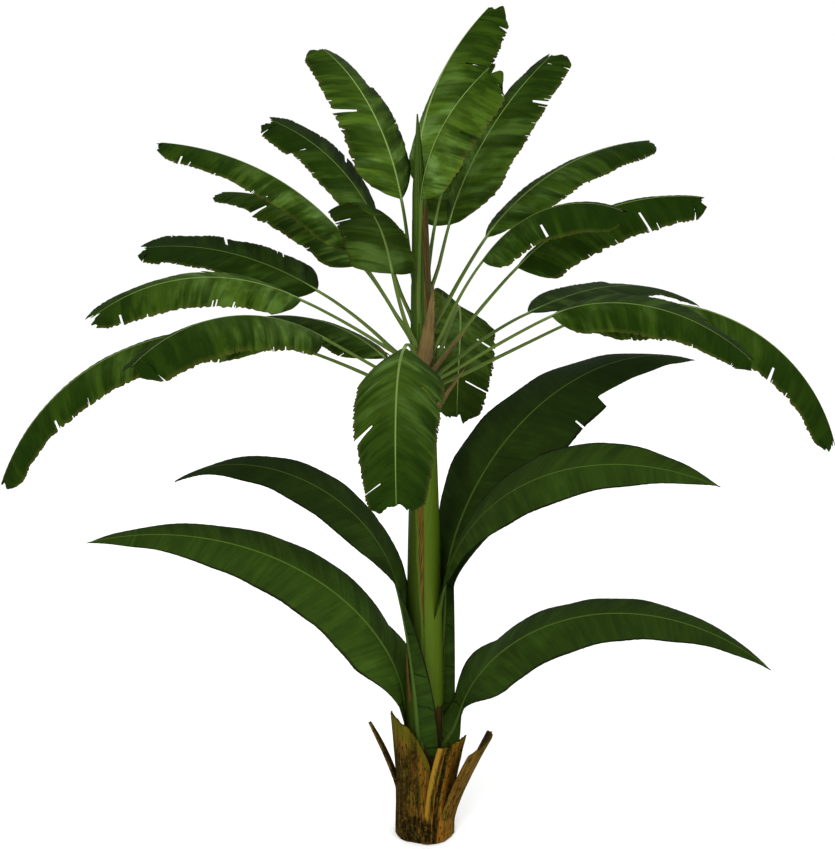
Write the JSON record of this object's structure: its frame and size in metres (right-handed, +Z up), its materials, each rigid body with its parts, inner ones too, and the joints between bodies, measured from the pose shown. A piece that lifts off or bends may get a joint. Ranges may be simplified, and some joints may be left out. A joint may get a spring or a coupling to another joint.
{
  "type": "banana plant",
  "caption": "Young banana plant rooted in the ground, with a tall sheathed stem, a crown of torn arching leaves and broad smooth leaves rising low down.",
  "frame": {"origin": "centre of the flat cut under the stump, at ground level", "axes": "+Z up along the stem; +X to the right and -Y towards the viewer, as the plant is mainly seen"},
  "size_m": [3.9521, 2.7913, 4.0521],
  "materials": {
    "stem": "smooth waxy green sheaths",
    "stump": "rough dry fibrous sheaths, streaked brown",
    "roll": "tightly rolled young leaf, satin",
    "crown": "satin leaf, fine cross ribs",
    "lower": "satin dark leaf, fine cross ribs",
    "dry": "dry papery leaf remains, matt"
  },
  "bodies": {
    "root": {"crown_leaf_01": "crown", "crown_leaf_02": "crown", "crown_leaf_03": "crown", "crown_leaf_04": "crown", "crown_leaf_05": "crown", "crown_leaf_06": "crown", "crown_leaf_07": "crown", "crown_leaf_08": "crown", "crown_leaf_09": "crown", "crown_leaf_10": "crown", "crown_leaf_11": "crown", "crown_leaf_12": "crown", "crown_leaf_13": "crown", "crown_leaf_14": "crown", "crown_leaf_15_inner": "crown", "crown_leaf_15_outer": "crown", "crown_leaf_16_inner": "crown", "crown_leaf_16_outer": "crown", "crown_leaf_17_inner": "crown", "crown_leaf_17_outer": "crown", "crown_leaf_18_inner": "crown", "crown_leaf_18_outer": "crown", "crown_leaf_19_inner": "crown", "crown_leaf_19_outer": "crown", "crown_leaf_20_inner": "crown", "crown_leaf_20_outer": "crown", "crown_leaf_21_inner": "crown", "crown_leaf_21_outer": "crown", "crown_leaf_22_inner": "crown", "crown_leaf_22_outer": "crown", "cut_sheath_1": "stump", "cut_sheath_2": "stump", "cut_sheath_3": "stump", "cut_sheath_4": "stump", "cut_sheath_5": "stump", "cut_sheath_6": "stump", "dry_bract_1": "dry", "dry_bract_2": "dry", "dry_bract_3": "dry", "dry_bract_4": "dry", "dry_bract_5": "dry", "dry_bract_6": "dry", "dry_strip_1": "dry", "dry_strip_2": "dry", "lower_leaf_1_inner": "lower", "lower_leaf_1_outer": "lower", "lower_leaf_2_inner": "lower", "lower_leaf_2_outer": "lower", "lower_leaf_3_inner": "lower", "lower_leaf_3_outer": "lower", "lower_leaf_4_inner": "lower", "lower_leaf_4_outer": "lower", "lower_leaf_5_inner": "lower", "lower_leaf_5_outer": "lower", "rolled_leaf": "roll", "stem": "stem", "stump": "stump"}
  },
  "joints": []
}
